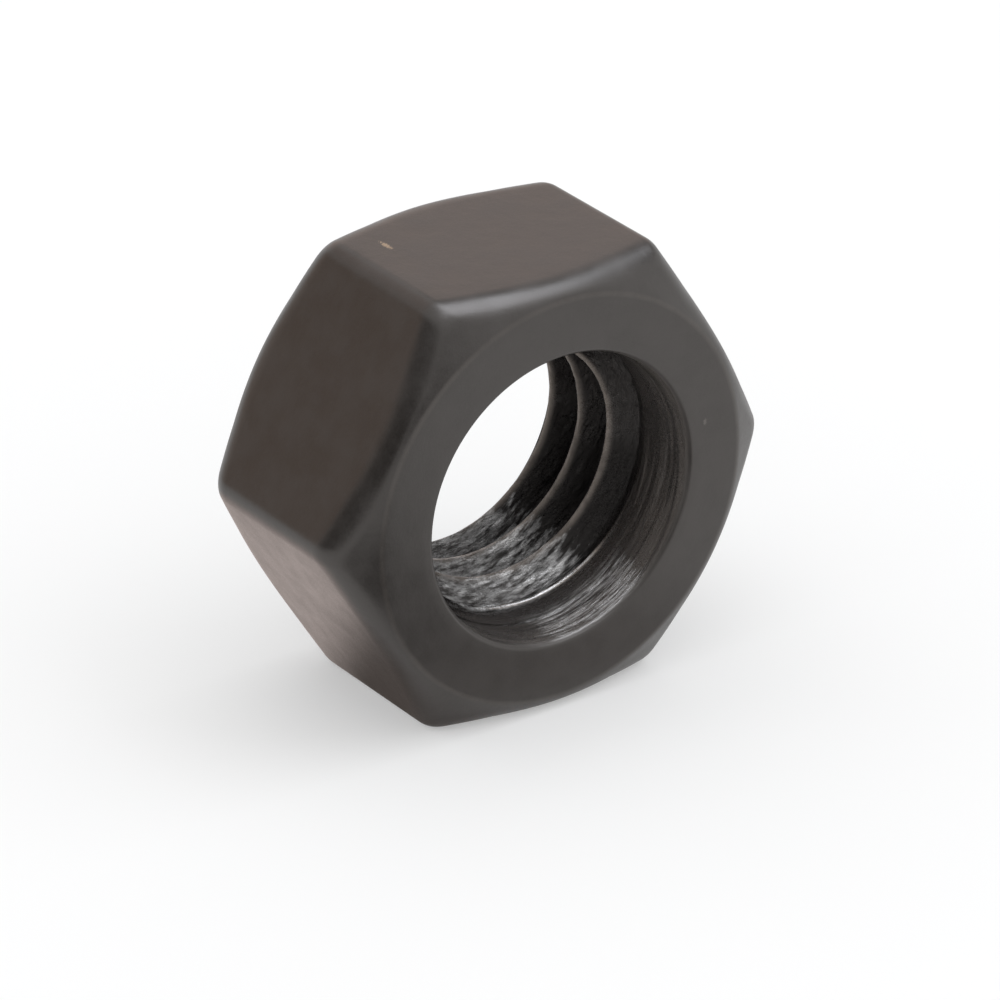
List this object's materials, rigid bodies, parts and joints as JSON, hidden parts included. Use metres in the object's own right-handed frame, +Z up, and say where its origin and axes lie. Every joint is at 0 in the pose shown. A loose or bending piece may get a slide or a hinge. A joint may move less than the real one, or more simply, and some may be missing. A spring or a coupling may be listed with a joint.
{
  "type": "hex nut",
  "caption": "Plain hex nut with both faces chamfered and a coarse right-hand internal thread, recessed at the front and countersunk at the back, in black oxide steel.",
  "frame": {"origin": "on the thread axis, midway between the two bearing faces", "axes": "+Y along the thread axis, towards the back bearing face; +Z up, square to the upper wrench flat; the nut stands on its lower wrench flat, with hexagon corners on +X and -X"},
  "size_m": [0.0138, 0.0066, 0.012],
  "materials": {
    "black_oxide_steel": "satin black oxide, a little warm, with bare bright metal showing on the thread's edges"
  },
  "bodies": {
    "root": {"hex_nut": "black_oxide_steel"}
  },
  "joints": []
}
